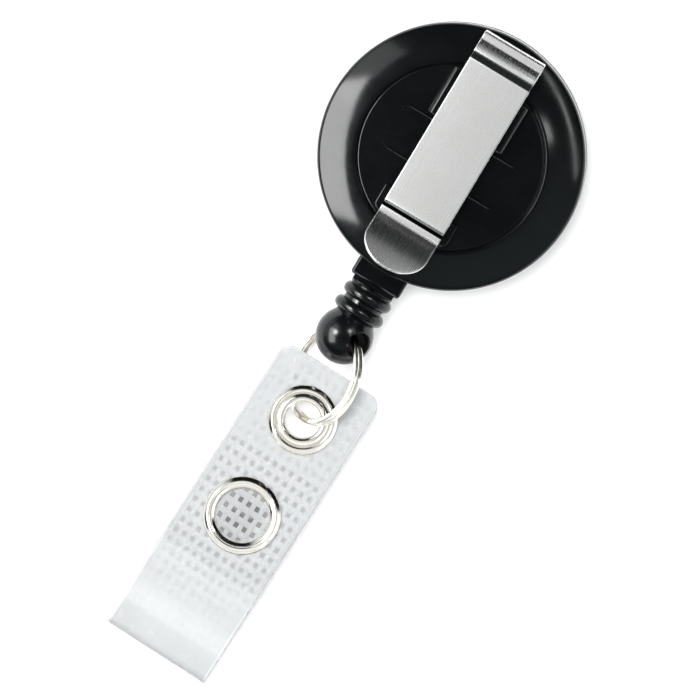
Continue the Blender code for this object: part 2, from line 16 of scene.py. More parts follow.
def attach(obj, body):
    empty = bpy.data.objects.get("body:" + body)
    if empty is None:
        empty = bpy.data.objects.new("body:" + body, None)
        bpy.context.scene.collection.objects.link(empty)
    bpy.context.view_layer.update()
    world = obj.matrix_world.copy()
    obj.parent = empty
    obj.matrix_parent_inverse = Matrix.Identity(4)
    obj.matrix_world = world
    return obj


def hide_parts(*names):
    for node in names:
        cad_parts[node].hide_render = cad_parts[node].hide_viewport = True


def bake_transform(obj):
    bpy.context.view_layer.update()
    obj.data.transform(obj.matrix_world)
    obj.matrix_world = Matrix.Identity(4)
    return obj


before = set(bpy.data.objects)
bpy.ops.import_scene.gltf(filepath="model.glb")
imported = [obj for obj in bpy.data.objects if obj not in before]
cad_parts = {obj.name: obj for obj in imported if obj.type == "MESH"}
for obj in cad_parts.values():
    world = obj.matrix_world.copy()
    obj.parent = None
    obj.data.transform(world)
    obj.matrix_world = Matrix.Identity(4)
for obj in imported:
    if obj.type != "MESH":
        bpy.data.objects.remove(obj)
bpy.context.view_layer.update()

MM = 0.001
STEPS = 224

# Camera and light -------------------------------------------------------------

TARGET = Vector((1.43, -26.3, 4.2)) * MM
VIEW = Vector((0.0185, 0.089, 1.0)).normalized()
IMAGE_UP = Vector((-0.5135, 0.858, 0.0))
CAMERA_FAR = 0.91
LENS = 391.0
LIGHT_FAR = 0.6
LIGHT_NEAR = 0.5


def look(obj, location, direction, up):
    """Places an object at a location with its -Z towards -direction and +Y near up."""
    z = direction.normalized()
    x = up.cross(z).normalized()
    y = z.cross(x)
    obj.matrix_world = Matrix.Translation(location) @ Matrix((x, y, z)).transposed().to_4x4()


def add_camera():
    data = bpy.data.cameras.new("camera")
    data.lens = LENS
    data.sensor_width = 36.0
    data.clip_start = 0.01
    data.clip_end = 10.0
    camera = bpy.data.objects.new("camera", data)
    bpy.context.scene.collection.objects.link(camera)
    look(camera, TARGET + VIEW * CAMERA_FAR, VIEW, IMAGE_UP)
    bpy.context.scene.camera = camera


def add_softbox(name, azimuth, zenith, size, radiance, distance=LIGHT_FAR):
    """A rectangular light that faces the object: size is its angular width and height.

    Two lights in one direction stand at different distances, or they would coincide.
    """
    a = math.radians(azimuth)
    t = math.radians(zenith)
    direction = Vector((math.cos(a) * math.sin(t), math.sin(a) * math.sin(t), math.cos(t)))
    data = bpy.data.lights.new(name, "AREA")
    data.shape = "RECTANGLE"
    data.size = 2 * distance * math.tan(math.radians(size[0] / 2))
    data.size_y = 2 * distance * math.tan(math.radians(size[1] / 2))
    data.energy = radiance * math.pi * data.size * data.size_y
    light = bpy.data.objects.new(name, data)
    light.visible_camera = False
    bpy.context.scene.collection.objects.link(light)
    look(light, TARGET + direction * distance, direction, Vector((0, 0, 1)))
    return light


def light_only(light, pieces):
    """Keeps a light to some pieces, as a flagged studio light is."""
    group = bpy.data.collections.new(light.name + "_pieces")
    for piece in pieces:
        group.objects.link(piece)
    light.light_linking.receiver_collection = group


def add_world():
    """A dim ceiling and a grey room, with pale walls to the left and right."""
    world = bpy.data.worlds.new("room")
    world.use_nodes = True
    tree = world.node_tree
    coords = tree.nodes.new("ShaderNodeTexCoord")
    split = tree.nodes.new("ShaderNodeSeparateXYZ")
    tree.links.new(coords.outputs["Generated"], split.inputs["Vector"])

    def link(source, socket):
        if isinstance(source, bpy.types.NodeSocket):
            tree.links.new(source, socket)
        else:
            socket.default_value = source

    def ramp(source, stops):
        node = tree.nodes.new("ShaderNodeValToRGB")
        tree.links.new(source, node.inputs["Fac"])
        elements = node.color_ramp.elements
        elements[0].position = stops[0][0]
        elements[1].position = stops[-1][0]
        for place, _ in stops[1:-1]:
            elements.new(place)
        for element, (_, grey) in zip(elements, stops):
            element.color = (0.92 * grey, 0.98 * grey, grey, 1.0)
        return node.outputs["Color"]

    def mix(blend_type, factor, first, second):
        node = tree.nodes.new("ShaderNodeMix")
        node.data_type = "RGBA"
        node.blend_type = blend_type
        for source, socket in ((factor, 0), (first, 6), (second, 7)):
            link(source, node.inputs[socket])
        return node.outputs[2]

    sideways = tree.nodes.new("ShaderNodeMath")
    sideways.operation = "ABSOLUTE"
    link(split.outputs["X"], sideways.inputs[0])
    height = split.outputs["Z"]
    rise = ramp(height, [(0.0, 0.03), (0.4, 0.05), (0.6, 0.28), (0.86, 0.24), (0.965, 0.05)])
    ahead = ramp(split.outputs["Y"], [(0.0, 1.0), (0.5, 0.22)])
    room = mix("MULTIPLY", 1.0, rise, ahead)
    pale = mix("ADD", 1.0, room, ramp(height, [(0.0, 0.9), (0.3, 0.9), (0.5, 0.0)]))
    walls = ramp(sideways.outputs[0], [(0.75, 0.0), (0.92, 1.0)])
    link(mix("MIX", walls, room, pale), tree.nodes["Background"].inputs["Color"])
    bpy.context.scene.world = world


# Materials ----------------------------------------------------------------------


class Nodes:
    """A new node material and short ways to add to it."""

    def __init__(self, name):
        self.material = bpy.data.materials.new(name)
        self.material.use_nodes = True
        self.tree = self.material.node_tree
        self.shader = self.tree.nodes["Principled BSDF"]

    def add(self, kind, **values):
        node = self.tree.nodes.new(kind)
        for key, value in values.items():
            if key in node.inputs:
                self.put(value, node.inputs[key])
            else:
                setattr(node, key, value)
        return node

    def put(self, value, socket):
        if isinstance(value, bpy.types.NodeSocket):
            self.tree.links.new(value, socket)
        else:
            socket.default_value = value

    def set(self, **values):
        for key, value in values.items():
            self.put(value, self.shader.inputs[key.replace("_", " ")])

    def coords(self, scale=(1.0, 1.0, 1.0), output="Object"):
        """Object or UV coordinates, times scale."""
        start = self.add("ShaderNodeTexCoord")
        mapping = self.add("ShaderNodeMapping")
        self.put(start.outputs[output], mapping.inputs["Vector"])
        mapping.inputs["Scale"].default_value = scale
        return mapping.outputs["Vector"]

    def split(self, vector):
        node = self.add("ShaderNodeSeparateXYZ")
        self.put(vector, node.inputs["Vector"])
        return node.outputs

    def noise(self, vector, scale, detail, roughness=0.5):
        node = self.add("ShaderNodeTexNoise", Scale=scale, Detail=detail, Roughness=roughness)
        self.put(vector, node.inputs["Vector"])
        return node.outputs["Fac"]

    def span(self, value, low, high, start=0.3, end=0.7):
        """Maps value from start..end to low..high."""
        node = self.add("ShaderNodeMapRange")
        self.put(value, node.inputs["Value"])
        node.inputs["From Min"].default_value = start
        node.inputs["From Max"].default_value = end
        node.inputs["To Min"].default_value = low
        node.inputs["To Max"].default_value = high
        return node.outputs["Result"]

    def mix(self, factor, first, second):
        node = self.add("ShaderNodeMix", data_type="RGBA")
        self.put(factor, node.inputs[0])
        self.put((*first, 1.0), node.inputs[6])
        self.put((*second, 1.0), node.inputs[7])
        return node.outputs[2]

    def shade(self, colour, value, stops):
        """Multiplies a colour by a grey that follows value through (value, grey) stops."""
        low, high = stops[0][0], stops[-1][0]
        ramp = self.add("ShaderNodeValToRGB")
        self.put(self.span(value, 0.0, 1.0, low, high), ramp.inputs["Fac"])
        elements = ramp.color_ramp.elements
        for place, _ in stops[1:-1]:
            elements.new((place - low) / (high - low))
        for element, (_, grey) in zip(elements, stops):
            element.color = (grey, grey, grey, 1.0)
        node = self.add("ShaderNodeMix", data_type="RGBA", blend_type="MULTIPLY")
        node.inputs[0].default_value = 1.0
        self.put(colour, node.inputs[6])
        self.put(ramp.outputs["Color"], node.inputs[7])
        return node.outputs[2]

    def math(self, operation, first, second=0.0):
        node = self.add("ShaderNodeMath", operation=operation)
        self.put(first, node.inputs[0])
        self.put(second, node.inputs[1])
        return node.outputs[0]

    def bump(self, height, distance, below=None):
        node = self.add("ShaderNodeBump")
        node.inputs["Strength"].default_value = 1.0
        node.inputs["Distance"].default_value = distance
        self.put(height, node.inputs["Height"])
        if below is not None:
            self.put(below, node.inputs["Normal"])
        return node.outputs["Normal"]


def black_plastic(name="black_plastic_look", dulling=0.0):
    """Glossy moulded black plastic with faint flow marks and handling scuffs.

    dulling is added to its roughness.
    """
    n = Nodes(name)
    plain = n.coords()
    cloud = n.noise(plain, 260.0, 4.0)
    speck = n.noise(plain, 5200.0, 2.0)
    scuff = n.noise(n.coords((700.0, 5200.0, 900.0)), 1.0, 2.0)
    n.set(Base_Color=n.mix(cloud, (0.0012, 0.0015, 0.0016), (0.003, 0.0036, 0.0038)))
    marks = n.span(scuff, 0.0, 0.05, 0.55, 0.75)
    rough = n.math("ADD", n.span(cloud, 0.10 + dulling, 0.15 + dulling), marks)
    n.set(Roughness=rough, IOR=1.5)
    fine = n.bump(speck, 0.0000015)
    n.set(Normal=n.bump(cloud, 0.00001, below=fine))
    return n.material


# (length along the clip, grey) of painted shade in the two creases beside its plate.
CREASE_PAINTED_SHADE = [
    (28.60, 1.0), (28.80, 0.25), (29.65, 0.25), (29.80, 1.0),
    (49.50, 1.0), (49.65, 0.08), (51.00, 0.08), (51.15, 1.0),
]


def clip_steel():
    """Nickel-plated spring steel, finely brushed along the strip, with painted shade in its
    creases.
    """
    n = Nodes("clip_steel_look")
    along = n.coords((8.0, 0.06, 1.0), "UV")
    lines = n.noise(along, 1.0, 4.0, 0.6)
    cloud = n.noise(n.coords(), 190.0, 3.0)
    pits = n.noise(n.coords(), 6500.0, 1.0)
    length = n.split(n.coords(output="UV"))["Y"]
    plate = n.mix(cloud, (0.73, 0.725, 0.715), (0.78, 0.775, 0.765))
    # Painted shade: the colour and edge tint darken in the creases, standing in for the bends' dark
    # reflections.
    n.set(Base_Color=n.shade(plate, length, CREASE_PAINTED_SHADE), Metallic=1.0)
    n.set(Specular_Tint=n.shade((1.0, 1.0, 1.0, 1.0), length, CREASE_PAINTED_SHADE))
    n.set(Roughness=n.math("ADD", n.span(lines, 0.24, 0.29), n.span(cloud, 0.0, 0.02)))
    tangent = n.add("ShaderNodeTangent", direction_type="UV_MAP")
    n.set(Anisotropic=0.6, Tangent=tangent.outputs["Tangent"])
    fine = n.bump(pits, 0.000001)
    n.set(Normal=n.bump(lines, 0.0000011, below=fine))
    return n.material


def bright_nickel():
    """Bright nickel plate with a soft polish haze."""
    n = Nodes("bright_nickel_look")
    cloud = n.noise(n.coords(), 420.0, 4.0)
    speck = n.noise(n.coords(), 7800.0, 2.0)
    n.set(Base_Color=n.mix(cloud, (0.80, 0.77, 0.70), (0.88, 0.855, 0.80)), Metallic=1.0)
    n.set(Roughness=n.math("ADD", n.span(cloud, 0.07, 0.13), n.span(speck, 0.0, 0.03)))
    fine = n.bump(speck, 0.0000012)
    n.set(Normal=n.bump(cloud, 0.000008, below=fine))
    return n.material


def spool_plastic():
    n = Nodes("spool_plastic_look")
    cloud = n.noise(n.coords(), 320.0, 4.0)
    speck = n.noise(n.coords(), 4200.0, 3.0)
    n.set(Base_Color=n.mix(cloud, (0.50, 0.50, 0.475), (0.60, 0.60, 0.575)))
    n.set(Roughness=n.span(speck, 0.36, 0.5), Subsurface_Weight=0.05, Subsurface_Scale=0.001)
    n.set(Normal=n.bump(speck, 0.000004))
    return n.material


def spring_steel():
    n = Nodes("spring_steel_look")
    lines = n.noise(n.coords((90.0, 90.0, 5200.0)), 1.0, 3.0)
    cloud = n.noise(n.coords(), 520.0, 3.0)
    n.set(Base_Color=n.mix(cloud, (0.26, 0.28, 0.34), (0.42, 0.42, 0.45)), Metallic=1.0)
    n.set(Roughness=n.span(lines, 0.22, 0.4), Normal=n.bump(lines, 0.000002))
    return n.material


def braided_cord():
    """Tight black nylon braid: two sets of slanting strands cross."""
    n = Nodes("cord_look")
    place = n.split(n.coords())
    across = n.math("MULTIPLY", place["X"], 9000.0)
    along = n.math("MULTIPLY", place["Y"], 5200.0)
    left = n.math("SINE", n.math("ADD", along, across))
    right = n.math("SINE", n.math("SUBTRACT", along, across))
    weave = n.math("MAXIMUM", left, right)
    fuzz = n.noise(n.coords(), 9000.0, 2.0)
    n.set(Base_Color=n.mix(fuzz, (0.012, 0.012, 0.013), (0.035, 0.035, 0.037)))
    n.set(Roughness=n.span(fuzz, 0.6, 0.85), Sheen_Weight=0.3)
    n.set(Normal=n.bump(weave, 0.00004))
    return n.material


def vinyl():
    """Milky clear film, embossed by the scrim inside.

    The film's UV map holds millimetres across the strap and along it from its top. Inside
    the snap the film is clearer and darker with painted shade, and at the edges and the fold
    it is milkier. Its colour is lighter towards the fold as a painted highlight, and the
    weave's holes in its upper part are darkened as painted shade.
    """
    n = Nodes("clear_vinyl_look")
    place = n.split(n.coords(output="UV"))
    across, along = place["X"], place["Y"]
    from_snap = n.math("SUBTRACT", along, SNAP_S)
    warp = n.math("COSINE", n.math("MULTIPLY", across, 2 * math.pi / WARP_PITCH))
    weft = n.math("COSINE", n.math("MULTIPLY", from_snap, 2 * math.pi / WEFT_PITCH))
    grid = n.math("ADD", warp, weft)
    cloud = n.noise(n.coords(), 170.0, 3.0)
    haze = n.noise(n.coords(), 900.0, 3.0)
    n.set(Roughness=n.span(haze, 0.20, 0.30), IOR=1.53)
    lower = n.span(along, 0.0, 0.10, 25.0, 31.0)
    side = n.math("ABSOLUTE", across)
    welded = n.span(side, 0.0, 0.25, STRAP_W - 0.38, STRAP_W - 0.22)
    along_square = n.math("MULTIPLY", from_snap, from_snap)
    snap_square = n.math("ADD", along_square, n.math("MULTIPLY", across, across))
    fold = n.span(along, 0.0, 0.24, 32.0, 37.0)
    added = n.math("ADD", n.math("ADD", lower, welded), fold)
    milky = n.math("ADD", n.span(cloud, 0.455, 0.505), added)
    n.set(Alpha=n.math("SUBTRACT", milky, n.span(snap_square, 0.10, 0.0, 6.0, 10.0)))
    plain = n.mix(cloud, (0.575, 0.585, 0.59), (0.605, 0.615, 0.62))
    # Painted highlight: the film's colour is lighter from 26 to 33 mm along and beyond, standing in
    # for the glare on its lower part.
    film = n.shade(plain, along, [(0.0, 0.93), (26.0, 0.93), (33.0, 1.0), (60.0, 1.0)])
    # Painted shade: inside the snap's ring the film is darker, standing in for the dark socket seen
    # through it.
    shaded = n.shade(film, snap_square, [(0.0, 0.5), (6.0, 0.56), (9.5, 0.75), (10.9, 1.0)])
    # Painted shade: the weave's holes in the upper strap are darkened, standing in for the shade
    # seen through them.
    above = n.span(along, 1.0, 0.0, 26.0, 31.0)
    hole = n.span(n.math("MINIMUM", warp, weft), 0.0, 1.0, -0.1, 0.5)
    painted_cell_shade = n.math("MULTIPLY", hole, above)
    n.set(Base_Color=n.shade(shaded, painted_cell_shade, [(0.0, 1.0), (1.0, 0.935)]))
    soft = n.bump(cloud, 0.000025)
    n.set(Normal=n.bump(grid, 0.0000025, below=soft))
    return n.material


def scrim():
    """White polyester yarn inside the film."""
    n = Nodes("scrim_look")
    fibre = n.noise(n.coords((2600.0, 2600.0, 2600.0)), 1.0, 3.0)
    n.set(Base_Color=n.mix(fibre, (0.66, 0.67, 0.675), (0.73, 0.74, 0.745)))
    n.set(Roughness=n.span(fibre, 0.5, 0.7), Normal=n.bump(fibre, 0.000006))
    return n.material


def floor_paper():
    n = Nodes("floor_paper")
    grain = n.noise(n.coords(), 900.0, 4.0)
    n.set(Base_Color=n.mix(grain, (0.71, 0.71, 0.71), (0.74, 0.74, 0.74)))
    n.set(Roughness=n.span(grain, 0.7, 0.8), Normal=n.bump(grain, 0.000004))
    n.set(Emission_Color=(1.0, 1.0, 1.0, 1.0), Emission_Strength=0.34)
    return n.material


# Mesh building ------------------------------------------------------------------


def add_piece(name, mesh, material, body=None, smooth_angle=40.0):
    """Puts a finished mesh in the scene, smooth but for its sharp edges."""
    mesh.materials.clear()
    mesh.materials.append(material)
    mesh.shade_smooth()
    mesh.set_sharp_from_angle(angle=math.radians(smooth_angle))
    piece = bpy.data.objects.new(name, mesh)
    bpy.context.scene.collection.objects.link(piece)
    if body:
        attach(piece, body)
    return piece


def show(mesh, material, slot, body, *nodes, smooth_angle=40.0):
    """Adds a piece that rides a body, with the nodes it stands for hidden. slot is not used."""
    piece = add_piece(mesh.name, mesh, material, body, smooth_angle)
    if nodes:
        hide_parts(*nodes)
    return piece


def mesh_of(name, verts, faces, place=None, uvs=None):
    """A mesh from points in millimetres, put in place, with normals pointing out."""
    points = np.asarray(verts, float)
    if place is not None:
        turn = np.array(place)
        points = points @ turn[:3, :3].T + turn[:3, 3]
    mesh = bpy.data.meshes.new(name)
    mesh.from_pydata((points * MM).tolist(), [], faces)
    if uvs is not None:
        layer = mesh.uv_layers.new(name="UVMap")
        index = np.empty(len(mesh.loops), np.int32)
        mesh.loops.foreach_get("vertex_index", index)
        layer.data.foreach_set("uv", np.asarray(uvs, float)[index].ravel())
    bm = bmesh.new()
    bm.from_mesh(mesh)
    bmesh.ops.remove_doubles(bm, verts=bm.verts, dist=0.000001)
    bmesh.ops.recalc_face_normals(bm, faces=bm.faces)
    bm.to_mesh(mesh)
    bm.free()
    return mesh


def mesh_from(bm, name):
    """The mesh of a bmesh in millimetres."""
    bmesh.ops.transform(bm, matrix=Matrix.Scale(MM, 4), verts=bm.verts)
    mesh = bpy.data.meshes.new(name)
    bm.to_mesh(mesh)
    bm.free()
    return mesh


def side_faces(rings, size, base=0):
    """Quads between rings of size points each, whose first point is number base."""
    faces = []
    for i in range(rings - 1):
        near = base + i * size
        far = near + size
        for j in range(size):
            k = (j + 1) % size
            faces.append((near + j, near + k, far + k, far + j))
    return faces


def tube_faces(rings, size, base=0):
    """The same, with both ends closed."""
    last = base + (rings - 1) * size
    ends = [list(range(base, base + size)), list(range(last, last + size))]
    return side_faces(rings, size, base) + ends


def lathe(name, profile, steps=None, place=None):
    """A closed (radius, height) outline turned about Z."""
    steps = steps or STEPS
    outline = np.array(profile, float)
    angles = 2 * math.pi * np.arange(steps) / steps
    rings = [
        np.stack([outline[:, 0] * math.cos(a), outline[:, 0] * math.sin(a), outline[:, 1]], 1)
        for a in angles
    ]
    count = len(outline)
    faces = []
    for i in range(steps):
        near = i * count
        far = (i + 1) % steps * count
        for j in range(count):
            k = (j + 1) % count
            if outline[j, 0] < 1e-6 and outline[k, 0] < 1e-6:
                continue
            faces.append((near + j, near + k, far + k, far + j))
    return mesh_of(name, np.concatenate(rings), faces, place)


def arc(centre, radii, start, end, count):
    """Points on an ellipse arc, angles in degrees."""
    return [
        (centre[0] + radii[0] * math.cos(a), centre[1] + radii[1] * math.sin(a))
        for a in np.radians(np.linspace(start, end, count + 1))
    ]


def curved(points, per_span):
    """Smooth curve through points (Catmull-Rom)."""
    pts = [np.array(p, float) for p in points]
    pts = [2 * pts[0] - pts[1]] + pts + [2 * pts[-1] - pts[-2]]
    out = []
    for p0, p1, p2, p3 in zip(pts, pts[1:], pts[2:], pts[3:]):
        for t in np.arange(per_span) / per_span:
            a = 2 * p1 + (p2 - p0) * t + (2 * p0 - 5 * p1 + 4 * p2 - p3) * t**2
            out.append(tuple(0.5 * (a + (3 * p1 - p0 - 3 * p2 + p3) * t**3)))
    out.append(tuple(pts[-2]))
    return out


def bevelled(name, outline, low, high, bevel, axis="Y", segments=4):
    """A flat outline pulled from low to high along Y or Z, with every edge rounded."""
    bm = bmesh.new()
    verts = []
    for a, b in outline:
        verts.append(bm.verts.new((a, low, b) if axis == "Y" else (a, b, low)))
    face = bm.faces.new(verts)
    pulled = bmesh.ops.extrude_face_region(bm, geom=[face])
    moved = [item for item in pulled["geom"] if isinstance(item, bmesh.types.BMVert)]
    vec = (0, high - low, 0) if axis == "Y" else (0, 0, high - low)
    bmesh.ops.translate(bm, verts=moved, vec=vec)
    bmesh.ops.recalc_face_normals(bm, faces=bm.faces)
    bmesh.ops.bevel(
        bm, geom=bm.edges[:], offset=bevel, segments=segments, profile=0.5, affect="EDGES"
    )
    return mesh_from(bm, name)


def carve(mesh, cutters, operation="DIFFERENCE"):
    """The mesh less the cutters (or joined with them), as a new mesh."""
    obj = bpy.data.objects.new(mesh.name + "_work", mesh)
    bpy.context.scene.collection.objects.link(obj)
    helpers = []
    for cutter in cutters:
        helper = bpy.data.objects.new(cutter.name, cutter)
        bpy.context.scene.collection.objects.link(helper)
        modifier = obj.modifiers.new(cutter.name, "BOOLEAN")
        modifier.object = helper
        modifier.operation = operation
        modifier.solver = "EXACT"
        helpers.append(helper)
    bpy.context.view_layer.update()
    graph = bpy.context.evaluated_depsgraph_get()
    result = bpy.data.meshes.new_from_object(obj.evaluated_get(graph))
    result.name = mesh.name
    for helper in helpers + [obj]:
        bpy.data.objects.remove(helper, do_unlink=True)
    return result


# Strips: the clip and the strap -----------------------------------------------------


class Track:
    """A side view line of (y, z) points, followed by its length."""

    def __init__(self, points):
        self.points = np.array(points, float)
        step = np.linalg.norm(np.diff(self.points, axis=0), axis=1)
        self.length = np.concatenate([[0.0], np.cumsum(step)])
        slope = np.gradient(self.points, self.length, axis=0)
        slope /= np.linalg.norm(slope, axis=1)[:, None]
        self.normal = np.stack([-slope[:, 1], slope[:, 0]], 1)

    def at(self, s, h):
        place = [np.interp(s, self.length, self.points[:, i]) for i in (0, 1)]
        normal = [np.interp(s, self.length, self.normal[:, i]) for i in (0, 1)]
        size = np.hypot(*normal)
        return place[0] + h * normal[0] / size, place[1] + h * normal[1] / size

    @property
    def end(self):
        return float(self.length[-1])


def edge_steps(thickness, radius, count=4):
    """(inset, height) down a strip's rounded edge, from its top to its underside."""
    half = thickness / 2
    top = arc((radius, half - radius), (radius, radius), 90, 180, count)
    low = arc((radius, radius - half), (radius, radius), 180, 270, count)
    return top + low


def strip_mesh(
    name, track, rows, thickness, radius, columns=1, lift=None, place=None, before=0.0
):
    """A strip bent along a track; before is the strip's length ahead of it, for the UV map.

    rows holds (s, half width, how s and half width shrink with the inset) per row, so that
    the rounded edge runs round the ends too. columns splits the faces across the strip.
    """
    edge = edge_steps(thickness, radius)
    half = thickness / 2
    verts, uvs = [], []
    inner = np.linspace(-1.0, 1.0, columns + 1)[1:-1]
    for s, width, shrink_s, shrink_w in rows:
        loop = [(width - shrink_w * d, s - shrink_s * d, h) for d, h in edge]
        d = edge[-1][0]
        low_row = [(-u * (width - shrink_w * d), s - shrink_s * d, -half) for u in inner]
        other = [(-x, t, h) for x, t, h in reversed(loop)]
        top_row = [(u * (width - shrink_w * d), s - shrink_s * d, half) for u in inner]
        for x, t, h in loop + low_row + other + top_row:
            up = lift(x, t) if lift else 0.0
            y, z = track.at(t, h)
            verts.append((x, y, z + up))
            uvs.append((x, t + before))
    count = len(verts) // len(rows)
    faces = side_faces(len(rows), count)
    side = len(edge)
    span = len(inner)
    for base in (0, (len(rows) - 1) * count):
        right = list(range(base, base + side))
        left = [base + side + span + side - 1 - i for i in range(side)]
        if span:
            right_to_left = [
                [base + count - 1 - i for i in range(span)],
                [base + side + i for i in range(span)],
            ]
            faces.append([right[0]] + right_to_left[0] + [left[0]] + [left[1], right[1]])
            faces.append([right[-1]] + right_to_left[1] + [left[-1]] + [left[-2], right[-2]])
        first = 1 if span else 0
        for i in range(first, side - 1 - first):
            faces.append((right[i], right[i + 1], left[i + 1], left[i]))
    return mesh_of(name, verts, faces, place, uvs)


def straight_rows(start, end, width, pitch):
    """Plain rows from start to end, at about the pitch."""
    count = max(1, int(round((end - start) / pitch)))
    return [(s, width, 0.0, 1.0) for s in np.linspace(start, end, count + 1)]


def round_end(s_centre, x_centre, radii, sign, count):
    """Rows round an end's corner: sign +1 is the far end and -1 the near one."""
    rows = []
    for a in np.radians(np.linspace(0, 90, count + 1)):
        s = s_centre + sign * radii[1] * math.sin(a)
        width = x_centre + radii[0] * math.cos(a)
        rows.append((s, width, sign * math.sin(a), math.cos(a)))
    return rows if sign > 0 else rows[::-1]


# Case --------------------------------------------------------------------------------

CASE_R = 16.0
CUP_TOP = 5.45
BACK_LOW = 5.75
SEAM_CUT = 0.12
DISC_Z = 9.4
SUNK_Z = 9.3
RIB_Y = 2.84
PULL_Z = 5.6
CORD_R = 0.35
PULL_LINE = Matrix.Translation((0, 0, PULL_Z)) @ Matrix.Rotation(math.pi / 2, 4, "X")


def case_front():
    """Flat-faced cup with the spool's slotted post."""
    profile = [(CASE_R - SEAM_CUT, CUP_TOP), (CASE_R, CUP_TOP - SEAM_CUT)]
    profile += arc((CASE_R - 2.4, 2.4), (2.4, 2.4), 0, -90, 14)
    profile += [(0.0, 0.0), (0.0, 7.95), (1.3, 7.95), (1.6, 7.65), (1.6, 3.4), (3.0, 3.4)]
    profile += [(3.0, 1.2)] + arc((13.0, 2.4), (1.2, 1.2), -90, 0, 5)
    profile += [(14.2, 6.4), (14.7, 6.4), (14.7, CUP_TOP)]
    shell = lathe("case_front", profile)
    outline = [(-0.45, 3.9), (0.45, 3.9), (0.45, 9.0), (-0.45, 9.0)]
    slot = bevelled("slot", outline, -2.6, 2.6, 0.02)
    return carve(shell, [slot])


def case_back():
    """Domed back: recessed disc, a soft step, the ring's curve, a rounded edge and the wall."""
    reach = 16.9
    inner_slope, outer_slope = math.radians(12), math.radians(27)
    centre = (11.45 - reach * math.sin(inner_slope), 9.7 - reach * math.cos(inner_slope))
    disc = [(0.0, DISC_Z), (10.93, DISC_Z)] + arc((10.9, 9.16), (0.24, 0.24), 90, 5, 8)[1:]
    disc += [(11.17, 9.15), (11.24, 9.15), (11.34, 9.24)]
    ring = arc(centre, (reach, reach), 77.6, 63, 30)
    lip = arc((11.45, 9.57), (0.1, 0.1), 180, 100, 5)
    r_end, z_end = ring[-1]
    edge_r = (CASE_R - r_end) / (1 - math.sin(outer_slope))
    edge_z = z_end - edge_r * math.cos(outer_slope)
    edge = arc((CASE_R - edge_r, edge_z), (edge_r, edge_r), 63, 0, 14)
    profile = disc + lip + ring + edge[1:]
    profile += [(CASE_R, BACK_LOW + SEAM_CUT), (CASE_R - SEAM_CUT, BACK_LOW), (15.0, BACK_LOW)]
    profile += [(15.0, 7.0), (14.4, 7.5), (11.45, 8.1), (10.9, 8.2), (2.9, 8.2), (2.9, 7.65)]
    profile += [(1.9, 7.65), (1.9, 8.2), (0.0, 8.2)]
    return lathe("case_back", profile)


def outlet(name, upper):
    """Half of the outlet block: bevelled outside, flat where the halves meet."""
    low, high = (BACK_LOW, 7.65) if upper else (3.55, CUP_TOP)
    bm = bmesh.new()
    place = Matrix.Translation((0.0, -16.3, (low + high) / 2))
    size = Matrix.Diagonal((6.6, 3.3, high - low, 1.0))
    bmesh.ops.create_cube(bm, size=1.0, matrix=place @ size)
    outside = high if upper else low
    edges = []
    for edge in bm.edges:
        z = [v.co.z for v in edge.verts]
        if all(abs(value - outside) < 0.01 for value in z) or abs(z[0] - z[1]) > 0.5:
            edges.append(edge)
    bmesh.ops.bevel(bm, geom=edges, offset=0.42, segments=6, profile=0.5, affect="EDGES")
    mesh = mesh_from(bm, name)
    inside, meet = (high - 0.25, low) if upper else (low + 0.25, high)
    outline = [(-2.7, meet), (2.7, meet), (2.7, inside), (-2.7, inside)]
    collar = bevelled("collar", outline, -18.46, -17.2, 0.06, "Y", 3)
    mesh = carve(mesh, [collar], "UNION")
    bore = [(0.0, 13.0), (0.75, 13.0), (0.75, 18.0), (1.0, 18.35), (1.0, 19.0), (0.0, 19.0)]
    hole = lathe("hole", bore, 64, PULL_LINE)
    core = lathe("core", [(0.0, -1.0), (15.4, -1.0), (15.4, 12.0), (0.0, 12.0)], 128)
    return carve(mesh, [hole, core])


def keeper_upper():
    """Bridge over the clip's base, with sloping outer faces."""
    outline = [(-5.42, SUNK_Z), (-5.08, 10.7), (-4.72, 11.1)]
    outline += [(-x, z) for x, z in reversed(outline)]
    outline += [(3.8, SUNK_Z), (3.8, 10.6), (-3.8, 10.6), (-3.8, SUNK_Z)]
    return bevelled("keeper_upper", outline, 3.4, 9.7, 0.2, "Y", 5)


def keeper_lower():
    """U-shaped pocket round the end of the clip's base."""
    outer = [(5.0, -6.5), (5.0, -8.9)] + arc((4.2, -8.9), (0.8, 0.8), 0, -90, 6)[1:]
    outer += [(-x, y) for x, y in reversed(outer)]
    inner = [(-3.8, -6.5), (-3.8, -9.0), (-3.6, -9.2), (3.6, -9.2), (3.8, -9.0), (3.8, -6.5)]
    return bevelled("keeper_lower", outer + inner, SUNK_Z, 10.15, 0.2, "Z", 5)


def rib(name, y):
    """Thin rib with rounded ends."""
    ends = arc((6.95, y), (0.15, 0.15), -90, 90, 8) + arc((-6.95, y), (0.15, 0.15), 90, 270, 8)
    return bevelled(name, ends, SUNK_Z, 9.68, 0.13, "Z", 5)


# Clip --------------------------------------------------------------------------------

CLIP_T = 0.5
CLIP_W = 4.1
BASE_W = 3.5
BASE_Z = 10.05
BACK_Y = 15.05
LEDGE_Z = 12.35
PLATE_Z = 12.25
VALLEY_Z = 10.76
TONGUE_Y = -9.85
TONGUE_Z = 10.85
TONGUE_TIP_Y = -14.95
TONGUE_SLOPE = 0.80
TONGUE_CURL = 0.0205


